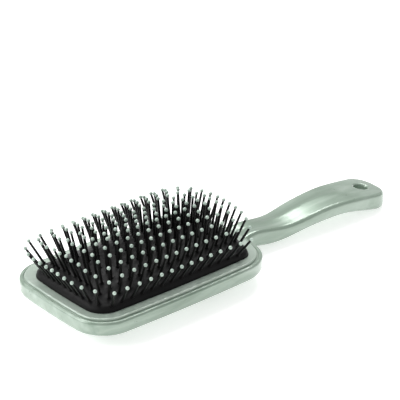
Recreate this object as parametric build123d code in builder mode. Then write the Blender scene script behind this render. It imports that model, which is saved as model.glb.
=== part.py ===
from build123d import *
import math
import os

# Paddle brush. Millimetres, +X towards the handle, +Z up (the way the pins point).
# Origin: middle of the footprint, on the surface that the brush lies on with its pins up.

os.makedirs("parts", exist_ok=True)

# ---------------------------------------------------------------- driving dimensions
overall_length = 239.0
head_left, head_right = 67.1, 62.5  # from head_x to the ends of the head
head_width = 83.2
head_height = 17.0  # back of the head to the top of the frame
head_x = -overall_length / 2 + head_left  # the head, pins and handle are laid out from here

# head moulding (the tray)
left_corner, right_corner = 20.0, 22.0
head_bows, head_taper = (1.4, 5.5, 0.7), 1.8  # bulge of the left end, right end and long sides
shoulder_drop = 1.0  # shoulder of the tray, below the top of the frame
shoulder_round = 1.5
back_radius, back_slope = 48.5, 34.6  # the back is crowned; slope at its edge, in degrees
back_steps = 5
back_corner_share = 0.5  # how much the corner radii shrink towards the flat middle
bilge_round = 2.6  # rounding between the side and the back
pocket_round = 0.5
pocket_inset = 2.35  # the frame drops into this pocket
ledge_depth = 6.0  # ledge that carries the cushion's flange, below the top of the frame
chamber_inset, chamber_side_z = 9.6, 7.0
floor_inset, floor_z = 24.0, 3.0  # the chamber's floor follows the back

# frame
frame_inset = 2.4
crest_inset = 2.9
groove_depth = 0.5
rebate_inset = 4.6
lip_thickness = 3.0
band_inset = 3.9  # from here the band falls by band_drop over band_width, towards the cushion
band_drop, band_width = 0.4, 5.6
crest_round = 0.8

# hole in the frame that the cushion stands in
opening_ends, opening_half_width = (-58.7, 54.0), 32.3
opening_corners = (12.0, 7.0)
opening_bows, opening_taper = (1.4, 5.4, 0.5), 1.0

# cushion
flange_inset = 4.9
flange_thickness = 2.7
rubber = 1.2  # thickness of the rubber's wall
rubber_drop = 1.8  # thickness of the dome, measured upright
fit_gap = 0.1
vent_x, vent_radius = 0.0, 0.8  # vent hole between two rows of pins
dome_rim = 1.0  # height of the dome's edge above the frame
dome_rise = 11.0
dome_middle = -2.3  # middle of the dome, from head_x
dome_half_length, dome_power_x = 57.7, 5.0
dome_half_width, dome_power_y = 34.0, 2.0

# pins
row_pitch = 5.0
pins_per_row = [14, 15, 16, 17, 16, 17, 16, 17, 16, 17, 16, 15, 14]
pin_length = 15.6  # rubber surface to the middle of the ball
shaft_base_radius, shaft_tip_radius = 0.78, 0.66
ball_radius = 1.05
spigot, spigot_radius = 0.9, 0.45  # thin end of the shaft, inside the ball
collar_radius, collar_height, collar_gap = 1.1, 0.8, 0.35
hole_radius = 1.15
pin_head_radius, pin_head_height, pin_head_gap = 1.45, 0.7, 1.0
left_pins, left_pins_bow = -56.0, 8.3  # end of the middle row; the outer rows fall short of it
right_pins, right_pins_bow = 48.4, 8.7
edge_lean, end_lean = 36.0, 34.0  # outward lean of the outermost pins, degrees
left_lean_power, right_lean_power = 3.0, 5.0  # how suddenly the lean grows towards the ends
side_lean_power = 2.2
lean_half_length, lean_half_width = 54.0, 30.0  # where the lean is full
ring_limits = [0.215, 0.30, 0.42, 0.48, 0.62, 0.72, 0.82, 0.93, 1.01]  # shares of the dome's rise

# handle, as stations along its length, from head_x:
# (distance, half width, top at the edges, bottom, crown of the top)
handle_stations = [
    (54.0, 9.6, 12.6, 5.3, -0.6),
    (60.0, 9.2, 13.0, 5.2, -0.8),
    (66.0, 8.8, 14.0, 5.0, -1.1),
    (72.0, 8.7, 14.9, 4.6, -0.8),
    (84.0, 9.2, 13.0, 2.7, 0.8),
    (96.0, 10.5, 11.7, 3.3, 1.6),
    (108.0, 11.8, 12.9, 5.3, 1.7),
    (120.0, 12.3, 14.2, 6.1, 1.4),
    (132.0, 13.0, 14.6, 6.4, 1.0),
    (144.0, 13.7, 13.8, 5.0, 0.6),
    (156.0, 13.9, 12.4, 2.2, 0.2),
    (166.0, 13.9, 10.7, 0.4, 0.0),
    (176.0, 13.9, 9.2, 0.0, 0.0),
]
handle_edge_round, handle_back_round = 2.2, 3.0
end_corner = 11.0
corner_lead = 4.0  # free length of the outline before the end's corner
hang_hole_x = head_x + 160.0
hang_hole_radius = 4.2
hang_hole_round = 1.2


# ---------------------------------------------------------------- outlines
def bowed_outline(z, ends, side, bows, taper, rounds, inset=0.0):
    """Four bowed sides with rounded corners at height z, moved inward by inset.

    ends: left and right end; bows: bulge of the left end, right end and long sides;
    taper: how much nearer the long sides are at the right end; rounds: corner radii.
    """
    left, right = ends[0] + inset, ends[1] - inset
    side = side - inset
    left_bow, right_bow, side_bow = bows
    near_left = (left + left_bow, -side + side_bow)
    near_right = (right - right_bow, -side + side_bow + taper)
    far_right = (near_right[0], -near_right[1])
    far_left = (near_left[0], -near_left[1])
    widest = left / 10
    with BuildSketch(Plane((head_x, 0, z)), mode=Mode.PRIVATE) as outline:
        with BuildLine():
            ThreePointArc(near_left, (widest, -side), near_right)
            ThreePointArc(near_right, (right, 0), far_right)
            ThreePointArc(far_right, (widest, side), far_left)
            ThreePointArc(far_left, (left, 0), near_left)
        make_face()
        fillet(outline.vertices().sort_by(Axis.X)[:2], rounds[0])
        fillet(outline.vertices().sort_by(Axis.X)[-2:], rounds[1])
    return outline.sketch


def head_outline(z, inset=0.0, corner_share=1.0):
    """Outer outline of the head; its corner radii lose corner_share of the inset."""
    ends = (-head_left, head_right)
    loss = inset * corner_share
    rounds = (left_corner - loss, right_corner - loss)
    return bowed_outline(z, ends, head_width / 2, head_bows, head_taper, rounds, inset)


def opening_outline(z, inset=0.0):
    """Outline of the hole in the frame that the cushion stands in."""
    rounds = (opening_corners[0] - inset, opening_corners[1] - inset)
    half = opening_half_width
    return bowed_outline(z, opening_ends, half, opening_bows, opening_taper, rounds, inset)


# ---------------------------------------------------------------- dome and pins
def dome_share(x, y):
    """Height of the dome at x, y as a share of its rise (0 at the rim, 1 in the middle)."""
    along = 1 - abs((x - dome_middle) / dome_half_length) ** dome_power_x
    across = 1 - abs(y / dome_half_width) ** dome_power_y
    return along * across


def dome_height(x, y):
    """Height of the rubber's outer surface at x, y from head_x."""
    return head_height + dome_rim + dome_rise * dome_share(x, y)


def pin_bases():
    """Foot of every pin, from head_x, in staggered rows."""
    bases = []
    middle_row = (len(pins_per_row) - 1) / 2
    for row, count in enumerate(pins_per_row):
        y = (row - middle_row) * row_pitch
        edge = abs(y) / (middle_row * row_pitch)
        left = left_pins + left_pins_bow * edge**5
        right = right_pins - right_pins_bow * edge**3
        for i in range(count):
            bases.append((left + (right - left) * i / (count - 1), y))
    return bases


def pin_direction(x, y):
    """Direction of a pin: upright in the middle, leaning outward towards the rim."""
    away = (x - dome_middle) / lean_half_length
    power = left_lean_power if away < 0 else right_lean_power
    lean_x = math.radians(end_lean) * math.copysign(abs(away) ** power, away)
    aside = y / lean_half_width
    lean_y = math.radians(edge_lean) * math.copysign(abs(aside) ** side_lean_power, aside)
    lean = math.hypot(lean_x, lean_y)
    if lean < 1e-6:
        return Vector(0, 0, 1)
    limited = min(lean, math.radians(edge_lean))
    across = math.sin(limited) / lean
    return Vector(lean_x * across, lean_y * across, math.cos(limited))


def pin_location(x, y):
    """Place of a pin: local Z is its axis, local zero its foot on the rubber."""
    foot = (head_x + x, y, dome_height(x, y))
    return Plane(origin=foot, x_dir=(0, 1, 0.01), z_dir=pin_direction(x, y)).location


# ---------------------------------------------------------------- body with handle
ledge_z = head_height - ledge_depth
shoulder_z = head_height - shoulder_drop
handle_end = overall_length / 2
handle_start = head_x + handle_stations[0][0]
handle_half = handle_stations[-1][1]
steep = 0.7  # an edge with a steeper direction than this runs up and down


def handle_face(height, crown_share):
    """A surface along the handle through the stations' column height, with a soft ridge."""
    spread = [-1.6, -1.2, -0.8, -0.4, 0.0, 0.4, 0.8, 1.2, 1.6]
    grid = []
    for station in handle_stations:
        half, crown = station[1], station[4] * crown_share
        line = [(share * half, station[height] + crown * (1 - abs(share))) for share in spread]
        grid.append([(head_x + station[0], y, z) for y, z in line])
    return Face.make_surface_from_array_of_points(grid, tol=0.02, min_deg=3)


def is_long(edge):
    """Whether an edge runs along the handle's outline and not up and down."""
    return abs(edge.tangent_at(0.5).Z) < steep and edge.center().X > handle_start + 1


def is_upper(edge):
    """Whether an edge belongs to the handle's top."""
    x = edge.center().X - head_x
    station = max(station for station in handle_stations if station[0] <= x)
    return edge.center().Z > (station[2] + station[3]) / 2


with BuildPart() as handle:
    corner_x = handle_end - end_corner
    flat = handle_half - end_corner
    diagonal = end_corner * math.sqrt(0.5)
    side = [(head_x + x, half) for x, half, *_ in handle_stations if head_x + x < corner_x - corner_lead]
    with BuildSketch():
        with BuildLine():
            for sign in (1, -1):
                corner = (corner_x, sign * handle_half)
                Spline([(x, sign * y) for x, y in side] + [corner], tangents=[(1, 0), (1, 0)])
                middle = (corner_x + diagonal, sign * (flat + diagonal))
                ThreePointArc(corner, middle, (handle_end, sign * flat))
            Line((handle_end, flat), (handle_end, -flat))
            Line(side[0], (side[0][0], -side[0][1]))
        make_face()
    extrude(amount=2 * head_height)
    extrude(handle_face(2, 1), amount=-3 * head_height, dir=(0, 0, 1), mode=Mode.INTERSECT)
    extrude(handle_face(3, 0), amount=-3 * head_height, dir=(0, 0, 1), mode=Mode.SUBTRACT)
    fillet([edge for edge in handle.edges() if is_long(edge) and is_upper(edge)], handle_edge_round)
    lower = [edge for edge in handle.edges() if is_long(edge) and not is_upper(edge)]
    fillet(lower, handle_back_round)
    with Locations((hang_hole_x, 0, 0)):
        Cylinder(hang_hole_radius, 4 * head_height, mode=Mode.SUBTRACT)
    fillet(handle.edges(Select.LAST).filter_by(is_long), hang_hole_round)


def back_sections():
    """Sections of the head's back, from the foot of the upright side to the flat middle."""
    sections = []
    for step in range(back_steps + 1):
        slope = math.radians(back_slope) * (1 - step / back_steps)
        inset = back_radius * (math.sin(math.radians(back_slope)) - math.sin(slope))
        z = back_radius * (1 - math.cos(slope))
        sections.append(head_outline(z, inset, back_corner_share))
    return sections


side_z = back_radius * (1 - math.cos(math.radians(back_slope)))  # foot of the upright side

with BuildPart() as paddle_body:
    loft(back_sections())
    extrude(head_outline(side_z), amount=shoulder_z - side_z)
    bilge = paddle_body.edges().filter_by(lambda edge: abs(edge.center().Z - side_z) < fit_gap)
    fillet(bilge, bilge_round)
    fillet(paddle_body.edges().group_by(Axis.Z)[-1], shoulder_round)
    add(handle.part)
    extrude(head_outline(ledge_z, pocket_inset), amount=head_height, mode=Mode.SUBTRACT)
    fillet(paddle_body.edges(Select.LAST).group_by(Axis.Z)[-1], pocket_round)
    chamber_top = head_outline(chamber_side_z, chamber_inset, back_corner_share)
    extrude(chamber_top, amount=head_height, mode=Mode.SUBTRACT)
    loft([head_outline(floor_z, floor_inset, back_corner_share), chamber_top], mode=Mode.SUBTRACT)
paddle_body.part.label = "paddle_body"
export_step(paddle_body.part, "parts/paddle_body.step")

# ---------------------------------------------------------------- frame
with BuildPart() as front_frame:
    extrude(head_outline(ledge_z, frame_inset), amount=ledge_depth - shoulder_drop - groove_depth)
    extrude(head_outline(ledge_z, crest_inset), amount=ledge_depth)
    fillet(front_frame.edges().group_by(Axis.Z)[-1], crest_round)
    loft(
        [
            head_outline(head_height - band_drop, band_inset + band_width),
            head_outline(head_height + band_drop, band_inset - band_width),
        ],
        mode=Mode.SUBTRACT,
    )
    extrude(
        head_outline(ledge_z, rebate_inset), amount=ledge_depth - lip_thickness, mode=Mode.SUBTRACT
    )
    extrude(opening_outline(ledge_z), amount=ledge_depth, mode=Mode.SUBTRACT)
front_frame.part.label = "front_frame"
export_step(front_frame.part, "parts/front_frame.step")

# ---------------------------------------------------------------- cushion
bases = pin_bases()


def dome_face(drop):
    """The dome's surface, lowered by drop."""
    columns, rows = 32, 18
    half_x, half_y = 61.0, 34.5
    grid = []
    for i in range(columns + 1):
        x = half_x * (2 * i / columns - 1)
        ys = [half_y * (2 * j / rows - 1) for j in range(rows + 1)]
        grid.append([(head_x + x, y, dome_height(x, y) - drop) for y in ys])
    return Face.make_surface_from_array_of_points(grid)


def dome_solid(inset, drop):
    """Everything under the dome's surface inside the opening, moved inward by inset."""
    with BuildPart() as under:
        extrude(dome_face(drop), amount=3 * head_height, dir=(0, 0, -1))
        extrude(opening_outline(ledge_z, inset), amount=3 * head_height, mode=Mode.INTERSECT)
    return under.part


with BuildPart() as rubber_cushion:
    extrude(head_outline(ledge_z + fit_gap, flange_inset), amount=flange_thickness)
    add(dome_solid(fit_gap, 0))
    add(dome_solid(fit_gap + rubber, rubber_drop), mode=Mode.SUBTRACT)
    for row_y in sorted({y for x, y in bases}):
        with Locations([pin_location(x, y) for x, y in bases if y == row_y]):
            Cylinder(hole_radius, 6 * rubber, mode=Mode.SUBTRACT)
    with Locations((head_x + vent_x, row_pitch / 2, dome_height(vent_x, row_pitch / 2))):
        Cylinder(vent_radius, 4 * rubber, mode=Mode.SUBTRACT)
rubber_cushion.part.label = "rubber_cushion"
export_step(rubber_cushion.part, "parts/rubber_cushion.step")

# ---------------------------------------------------------------- pins and ball tips
head_z = -rubber_drop - pin_head_gap  # outer face of the pin's head, under the rubber
shaft_end = pin_length - ball_radius + spigot

with BuildPart() as pin:
    with Locations((0, 0, head_z - pin_head_height)):
        Cylinder(pin_head_radius, pin_head_height, align=(Align.CENTER, Align.CENTER, Align.MIN))
    with Locations((0, 0, head_z)):
        Cone(
            shaft_base_radius,
            shaft_tip_radius,
            shaft_end - spigot - head_z,
            align=(Align.CENTER, Align.CENTER, Align.MIN),
        )
    with Locations((0, 0, shaft_end)):
        Cylinder(spigot_radius, 2 * spigot, align=(Align.CENTER, Align.CENTER, Align.MAX))
    with Locations((0, 0, collar_gap)):
        Cylinder(collar_radius, collar_height, align=(Align.CENTER, Align.CENTER, Align.MIN))

with BuildPart() as tip:
    with Locations((0, 0, pin_length)):
        Sphere(ball_radius)
    with Locations((0, 0, shaft_end)):
        Cylinder(
            spigot_radius,
            2 * ball_radius,
            align=(Align.CENTER, Align.CENTER, Align.MAX),
            mode=Mode.SUBTRACT,
        )

lower_limits = [0.0] + ring_limits[:-1]
for number, (low, high) in enumerate(zip(lower_limits, ring_limits), start=1):
    ring_bases = [(x, y) for x, y in bases if low < dome_share(x, y) <= high]
    mean_share = sum(dome_share(x, y) for x, y in ring_bases) / len(ring_bases)
    print(f"ring {number}: {len(ring_bases)} pins, mean share of the dome's rise {mean_share:.3f}")
    for kind, template in (("pins", pin), ("tips", tip)):
        with BuildPart() as ring:
            with Locations([pin_location(x, y) for x, y in ring_bases]):
                add(template.part)
        ring.part.label = f"{kind}_ring_{number}"
        export_step(ring.part, f"parts/{kind}_ring_{number}.step")
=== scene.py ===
import math
import bmesh
import bpy
import numpy as np
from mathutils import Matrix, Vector
from mathutils.bvhtree import BVHTree
from mathutils.kdtree import KDTree


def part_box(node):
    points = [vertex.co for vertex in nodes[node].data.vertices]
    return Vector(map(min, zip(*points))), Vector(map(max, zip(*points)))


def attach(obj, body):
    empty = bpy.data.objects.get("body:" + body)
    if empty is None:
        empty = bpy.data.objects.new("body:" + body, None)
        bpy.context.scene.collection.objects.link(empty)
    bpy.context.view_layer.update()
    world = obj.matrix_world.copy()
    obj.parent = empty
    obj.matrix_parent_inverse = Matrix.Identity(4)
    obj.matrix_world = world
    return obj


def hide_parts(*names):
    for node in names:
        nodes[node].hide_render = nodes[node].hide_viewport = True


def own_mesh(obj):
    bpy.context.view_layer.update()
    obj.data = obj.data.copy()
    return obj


# Paddle brush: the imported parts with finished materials, and the rubber cushion as a modelled pad.

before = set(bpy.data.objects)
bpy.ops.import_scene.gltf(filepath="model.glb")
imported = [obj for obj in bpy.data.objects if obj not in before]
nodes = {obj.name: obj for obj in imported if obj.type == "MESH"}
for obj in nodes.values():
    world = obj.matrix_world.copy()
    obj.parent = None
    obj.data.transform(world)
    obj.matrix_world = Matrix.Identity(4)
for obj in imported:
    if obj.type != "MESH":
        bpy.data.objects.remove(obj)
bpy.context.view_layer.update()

MM = 0.001
frame_low, frame_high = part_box("front_frame")
head_top = frame_high.z
HEAD_X_FROM_FRAME = 64.7 * MM
head_x = frame_low.x + HEAD_X_FROM_FRAME  # the head is laid out from here

# the cushion's dome, as the CAD part has it
DOME_RIM = 1.0 * MM  # height of the dome's edge above the frame
DOME_RISE = 11.0 * MM
DOME_MIDDLE = head_x - 2.3 * MM
DOME_HALF_LENGTH, DOME_POWER_X = 57.7 * MM, 5.0
DOME_HALF_WIDTH, DOME_POWER_Y = 34.0 * MM, 2.0
PIN_FOOT = 3.5 * MM  # from the inner end of a pin to the rubber's surface

# the visual pad
AROUND, RINGS = 720, 72  # mesh points round the pad, and rings from its rim to its middle
RING_CROWDING = 1.15  # above 1, the rings stand closer together near the rim
OUTLINE_DEPTH = 1.5 * MM  # the pad's outline is read this far below the frame's top
WALL_DEPTH = 2.9 * MM  # bottom of the pad, below the frame's top
CAST_HALF_LENGTH, CAST_HALF_WIDTH = 65 * MM, 38 * MM  # rays for the outline aim inward from an ellipse
CAST_START = 1.5  # how far out the rays start, as a multiple of that ellipse
RIM_ROUND = 2.3 * MM  # rounding of the pad's rim
PUCKER_HEIGHT, PUCKER_RADIUS = 0.45 * MM, 1.55 * MM  # the rubber rises a little round each pin
WELD_DISTANCE = 1e-6

# colours: shadow, middle and bright, or dark and light
SAGE = (0.205, 0.280, 0.217), (0.278, 0.362, 0.292), (0.380, 0.462, 0.396)
# the frame is the body's sage plastic painted lighter: painted light that makes up for the shade and
# dark cushion reflection on its band
SAGE_FRAME_PAINTED_LIGHT = (0.350, 0.440, 0.365), (0.425, 0.510, 0.440), (0.520, 0.600, 0.535)
MINT_DARK, MINT_LIGHT = (0.36, 0.455, 0.395), (0.48, 0.58, 0.51)
BLACK_DARK, BLACK_LIGHT = (0.0025, 0.0025, 0.0025), (0.0060, 0.0058, 0.0058)
RUBBER_DARK, RUBBER_LIGHT = (0.0022, 0.0022, 0.0024), (0.0055, 0.0053, 0.0055)
CLOUD_DARK, CLOUD_LIGHT = (0.90, 0.91, 0.90), (1.0, 1.0, 1.0)
FLOOR_COLOUR = (0.90, 0.90, 0.90, 1.0)
WHITE = (1.0, 1.0, 1.0, 1.0)
PEARL_METALLIC = 0.25
BODY_STRETCH, FRAME_STRETCH = (0.22, 1.0, 1.0), (0.35, 0.6, 1.0)  # how the pearl streaks are drawn out

# studio
FLOOR_SIZE = 6.0
FLOOR_GLOW = 0.55  # the floor's own light, which keeps it white under a faint shadow
WORLD_LIGHT = 0.50
SOFTBOXES = [  # name, azimuth and elevation in degrees, distance, (width, height), power
    ("key", -118, 35, 1.2, (0.9, 0.7), 7.5),
    ("top", 150, 60, 1.3, (1.2, 0.5), 15.0),
]
CAMERA_AIM = Vector((32.2, -6.6, 30.3)) * MM  # from the middle of the frame's top
CAMERA_AZIMUTH, CAMERA_ELEVATION = -39.68, 27.14
CAMERA_DISTANCE = 1.3785
CAMERA_LENS, CAMERA_SENSOR = 225.84, 36.0
CAMERA_CLIP = 0.05, 20.0


# ---------------------------------------------------------------- materials
def new_material(name):
    """An empty node material: (material, node tree, principled shader)."""
    material = bpy.data.materials.new(name)
    material.use_nodes = True
    tree = material.node_tree
    return material, tree, tree.nodes["Principled BSDF"]


def coordinates(tree, scale=(1.0, 1.0, 1.0)):
    """The object's own coordinates, scaled."""
    coords = tree.nodes.new("ShaderNodeTexCoord")
    mapping = tree.nodes.new("ShaderNodeMapping")
    mapping.inputs["Scale"].default_value = scale
    tree.links.new(coords.outputs["Object"], mapping.inputs["Vector"])
    return mapping.outputs["Vector"]


def noise(tree, vector, scale, detail=4.0, roughness=0.5, distortion=0.0):
    """A noise texture's value."""
    node = tree.nodes.new("ShaderNodeTexNoise")
    node.inputs["Distortion"].default_value = distortion
    node.inputs["Scale"].default_value = scale
    node.inputs["Detail"].default_value = detail
    node.inputs["Roughness"].default_value = roughness
    tree.links.new(vector, node.inputs["Vector"])
    return node.outputs["Fac"]


def ramp(tree, value, stops):
    """A colour ramp over value; stops are (position, colour)."""
    node = tree.nodes.new("ShaderNodeValToRGB")
    elements = node.color_ramp.elements
    while len(elements) < len(stops):
        elements.new(0.5)
    for element, (position, colour) in zip(elements, stops):
        element.position = position
        element.color = (*colour, 1.0)
    tree.links.new(value, node.inputs["Fac"])
    return node.outputs["Color"]


def spread(tree, value, low, high):
    """value from 0..1 spread over low..high."""
    node = tree.nodes.new("ShaderNodeMapRange")
    node.inputs["From Min"].default_value = 0.25
    node.inputs["From Max"].default_value = 0.75
    node.inputs["To Min"].default_value = low
    node.inputs["To Max"].default_value = high
    tree.links.new(value, node.inputs["Value"])
    return node.outputs["Result"]


def bump(tree, height, strength, distance, normal=None):
    """A bump node's normal."""
    node = tree.nodes.new("ShaderNodeBump")
    node.inputs["Strength"].default_value = strength
    node.inputs["Distance"].default_value = distance
    tree.links.new(height, node.inputs["Height"])
    if normal is not None:
        tree.links.new(normal, node.inputs["Normal"])
    return node.outputs["Normal"]


def moulded_plastic(name, dark, light, gloss, specular):
    """Injection moulded plastic: slow colour flow, uneven gloss and a faint orange-peel surface."""
    material, tree, shader = new_material(name)
    vector = coordinates(tree)
    flow = noise(tree, vector, 90.0, 3.0)
    colour = ramp(tree, flow, [(0.35, dark), (0.65, light)])
    tree.links.new(colour, shader.inputs["Base Color"])
    smear = noise(tree, vector, 400.0, 4.0, 0.6)
    tree.links.new(spread(tree, smear, *gloss), shader.inputs["Roughness"])
    peel = noise(tree, vector, 900.0, 2.0)
    fine = noise(tree, vector, 3000.0, 3.0)
    normal = bump(tree, peel, 0.08, 0.0002)
    tree.links.new(bump(tree, fine, 0.05, 0.0001, normal), shader.inputs["Normal"])
    shader.inputs["Specular IOR Level"].default_value = specular
    return material


def pearl_plastic(name, shadow, middle, bright, stretch):
    """Pearly plastic: the pigment lies in long streaks where the melt flowed, under a clear gloss."""
    material, tree, shader = new_material(name)
    along = coordinates(tree, stretch)
    streaks = noise(tree, along, 75.0, 5.0, 0.55, 1.2)
    colour = ramp(tree, streaks, [(0.30, shadow), (0.50, middle), (0.72, bright)])
    vector = coordinates(tree)
    cloud = noise(tree, vector, 22.0, 2.0)
    blend = tree.nodes.new("ShaderNodeMix")
    blend.data_type = "RGBA"
    blend.blend_type = "MULTIPLY"
    blend.inputs["Factor"].default_value = 1.0
    tree.links.new(colour, blend.inputs["A"])
    tint = ramp(tree, cloud, [(0.30, CLOUD_DARK), (0.70, CLOUD_LIGHT)])
    tree.links.new(tint, blend.inputs["B"])
    tree.links.new(blend.outputs["Result"], shader.inputs["Base Color"])
    smear = noise(tree, vector, 180.0, 5.0, 0.6)
    tree.links.new(spread(tree, smear, 0.26, 0.38), shader.inputs["Roughness"])
    swell = noise(tree, along, 60.0, 2.0)
    peel = noise(tree, vector, 420.0, 2.0)
    fine = noise(tree, vector, 2200.0, 2.0)
    normal = bump(tree, swell, 0.10, 0.0010)
    normal = bump(tree, peel, 0.06, 0.0004, normal)
    tree.links.new(bump(tree, fine, 0.03, 0.0001, normal), shader.inputs["Normal"])
    shader.inputs["Metallic"].default_value = PEARL_METALLIC
    shader.inputs["Coat Weight"].default_value = 0.8
    shader.inputs["Coat Roughness"].default_value = 0.14
    shader.inputs["IOR"].default_value = 1.47
    return material


def black_rubber(name):
    """Soft black rubber: faint bloom, uneven sheen and a fine matt grain."""
    material, tree, shader = new_material(name)
    vector = coordinates(tree)
    bloom = noise(tree, vector, 45.0, 5.0, 0.6)
    colour = ramp(tree, bloom, [(0.3, RUBBER_DARK), (0.7, RUBBER_LIGHT)])
    tree.links.new(colour, shader.inputs["Base Color"])
    smear = noise(tree, vector, 120.0, 4.0)
    tree.links.new(spread(tree, smear, 0.38, 0.55), shader.inputs["Roughness"])
    grain = noise(tree, vector, 2600.0, 2.0)
    slow = noise(tree, vector, 210.0, 2.0)
    normal = bump(tree, slow, 0.15, 0.0006)
    tree.links.new(bump(tree, grain, 0.12, 0.0001, normal), shader.inputs["Normal"])
    shader.inputs["Specular IOR Level"].default_value = 0.16
    return material


body_plastic = pearl_plastic("sage_plastic", *SAGE, BODY_STRETCH)
# frame: the body's sage made lighter, painted light against the shade that the cushion and pins throw
# on the band
frame_plastic_painted_light = pearl_plastic("frame_plastic_painted_light", *SAGE_FRAME_PAINTED_LIGHT, FRAME_STRETCH)
pin_nylon = moulded_plastic("black_nylon", BLACK_DARK, BLACK_LIGHT, (0.34, 0.48), 0.25)
tip_plastic = moulded_plastic("mint_beads", MINT_DARK, MINT_LIGHT, (0.22, 0.34), 0.5)
cushion_rubber = black_rubber("black_rubber")


def finish_of(node_name):
    """The material of a CAD node."""
    if node_name.startswith("pins"):
        return pin_nylon
    if node_name.startswith("tips"):
        return tip_plastic
    # the front frame gets the lightened sage, which carries painted light
    return frame_plastic_painted_light if node_name == "front_frame" else body_plastic


for node_name, node in nodes.items():
    if node_name != "rubber_cushion":
        node.data.materials.clear()
        node.data.materials.append(finish_of(node_name))


# ---------------------------------------------------------------- cushion
def pin_feet():
    """Where every pin leaves the rubber, read from the CAD pins."""
    feet = []
    for node_name, node in nodes.items():
        if not node_name.startswith("pins"):
            continue
        mesh = bmesh.new()
        mesh.from_mesh(node.data)
        bmesh.ops.remove_doubles(mesh, verts=mesh.verts, dist=WELD_DISTANCE)
        left = set(mesh.verts)
        while left:
            island, edge = set(), [left.pop()]
            while edge:
                vertex = edge.pop()
                island.add(vertex)
                for link in vertex.link_edges:
                    other = link.other_vert(vertex)
                    if other in left:
                        left.discard(other)
                        edge.append(other)
            points = np.array([v.co for v in island])
            middle = points.mean(0)
            axis = np.linalg.svd(points - middle)[2][0]
            axis *= math.copysign(1, axis[2])
            reach = (points - middle) @ axis
            feet.append(middle + axis * (reach.min() + PIN_FOOT))
        mesh.free()
    return feet


def opening_outline(count):
    """The cushion's outline where it stands in the frame, read from the CAD cushion."""
    tree = BVHTree.FromObject(nodes["rubber_cushion"], bpy.context.evaluated_depsgraph_get())
    middle = Vector((head_x, 0, head_top - OUTLINE_DEPTH))
    outline = []
    for i in range(count):
        angle = 2 * math.pi * i / count
        away = Vector((math.cos(angle) * CAST_HALF_LENGTH, math.sin(angle) * CAST_HALF_WIDTH, 0))
        hit = tree.ray_cast(middle + away * CAST_START, -away.normalized())[0]
        outline.append((hit.x, hit.y))
    return np.array(outline)


def dome_height(x, y):
    """Height of the dome at x, y."""
    along = 1 - np.abs((x - DOME_MIDDLE) / DOME_HALF_LENGTH) ** DOME_POWER_X
    across = 1 - np.abs(y / DOME_HALF_WIDTH) ** DOME_POWER_Y
    return head_top + DOME_RIM + DOME_RISE * along * across


def build_cushion():
    """The rubber pad: a dome with a rolled rim, puckered round every pin, closed underneath."""
    outline = opening_outline(AROUND)
    middle = np.array([head_x, 0.0])
    rim = KDTree(AROUND)
    for i, (x, y) in enumerate(outline):
        rim.insert((x, y, 0), i)
    rim.balance()
    feet = pin_feet()
    socket = KDTree(len(feet))
    for i, foot in enumerate(feet):
        socket.insert(foot, i)
    socket.balance()

    wall_bottom = head_top - WALL_DEPTH
    points = [(x, y, wall_bottom) for x, y in outline]
    for ring in range(RINGS):
        share = 1 - (ring / RINGS) ** RING_CROWDING
        for x, y in middle + (outline - middle) * share:
            inward = rim.find((x, y, 0))[2]
            z = float(dome_height(x, y))
            if inward < RIM_ROUND:
                z -= RIM_ROUND - math.sqrt(RIM_ROUND**2 - (RIM_ROUND - inward) ** 2)
            near = socket.find((x, y, z))[2]
            z += PUCKER_HEIGHT * math.exp(-((near / PUCKER_RADIUS) ** 2))
            points.append((x, y, z))
    top = len(points)
    points.append((head_x, 0, float(dome_height(head_x, 0))))
    bottom = len(points)
    points.append((head_x, 0, wall_bottom))
    faces = []
    for ring in range(RINGS):
        for i in range(AROUND):
            j = (i + 1) % AROUND
            a, b = ring * AROUND, (ring + 1) * AROUND
            faces.append((a + i, a + j, b + j, b + i))
    last = RINGS * AROUND
    for i in range(AROUND):
        j = (i + 1) % AROUND
        faces.append((last + i, last + j, top))
        faces.append((j, i, bottom))
    mesh = bpy.data.meshes.new("rubber_pad")
    mesh.from_pydata(points, [], faces)
    mesh.shade_smooth()
    pad = bpy.data.objects.new("rubber_pad", mesh)
    bpy.context.scene.collection.objects.link(pad)
    mesh.materials.append(cushion_rubber)
    return pad


rubber_pad = build_cushion()
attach(rubber_pad, "paddle")
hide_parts("rubber_cushion")
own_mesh(rubber_pad)

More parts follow.
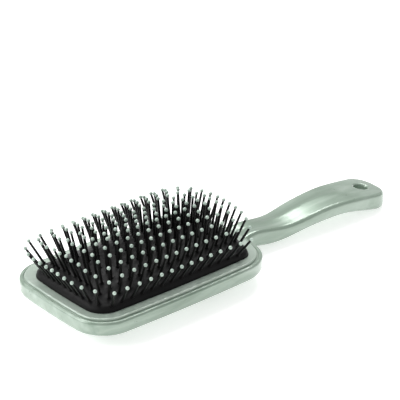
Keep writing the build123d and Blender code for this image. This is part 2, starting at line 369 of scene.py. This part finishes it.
# ---------------------------------------------------------------- stage, light and camera
bpy.ops.mesh.primitive_plane_add(size=FLOOR_SIZE, location=(0, 0, 0))
floor = bpy.context.object
floor.name = "floor"
floor_material, _, floor_shader = new_material("pale_floor")
floor_shader.inputs["Base Color"].default_value = FLOOR_COLOUR
floor_shader.inputs["Roughness"].default_value = 0.9
floor_shader.inputs["Emission Color"].default_value = WHITE
floor_shader.inputs["Emission Strength"].default_value = FLOOR_GLOW
floor.data.materials.append(floor_material)

world = bpy.data.worlds.new("studio")
world.use_nodes = True
background = world.node_tree.nodes["Background"]
background.inputs["Color"].default_value = WHITE
background.inputs["Strength"].default_value = WORLD_LIGHT
bpy.context.scene.world = world


def direction(azimuth, elevation):
    """Unit vector from the object towards a viewpoint, in degrees; azimuth 0 is the -Y side."""
    a, e = math.radians(azimuth), math.radians(elevation)
    return Vector((math.sin(a) * math.cos(e), -math.cos(a) * math.cos(e), math.sin(e)))


def softbox(name, azimuth, elevation, distance, size, power):
    """A rectangular area light that faces the object's middle."""
    light = bpy.data.lights.new(name, "AREA")
    light.shape = "RECTANGLE"
    light.size, light.size_y = size
    light.energy = power
    holder = bpy.data.objects.new(name, light)
    bpy.context.scene.collection.objects.link(holder)
    away = direction(azimuth, elevation)
    holder.location = away * distance
    holder.rotation_euler = (-away).to_track_quat("-Z", "Y").to_euler()


for softbox_settings in SOFTBOXES:
    softbox(*softbox_settings)

camera_data = bpy.data.cameras.new("camera")
camera_data.lens = CAMERA_LENS
camera_data.sensor_width = CAMERA_SENSOR
camera_data.clip_start, camera_data.clip_end = CAMERA_CLIP
camera = bpy.data.objects.new("camera", camera_data)
bpy.context.scene.collection.objects.link(camera)
away = direction(CAMERA_AZIMUTH, CAMERA_ELEVATION)
camera.location = Vector((head_x, 0, head_top)) + CAMERA_AIM + away * CAMERA_DISTANCE
camera.rotation_euler = (-away).to_track_quat("-Z", "Y").to_euler()
bpy.context.scene.camera = camera
bpy.context.scene.view_settings.view_transform = "Standard"
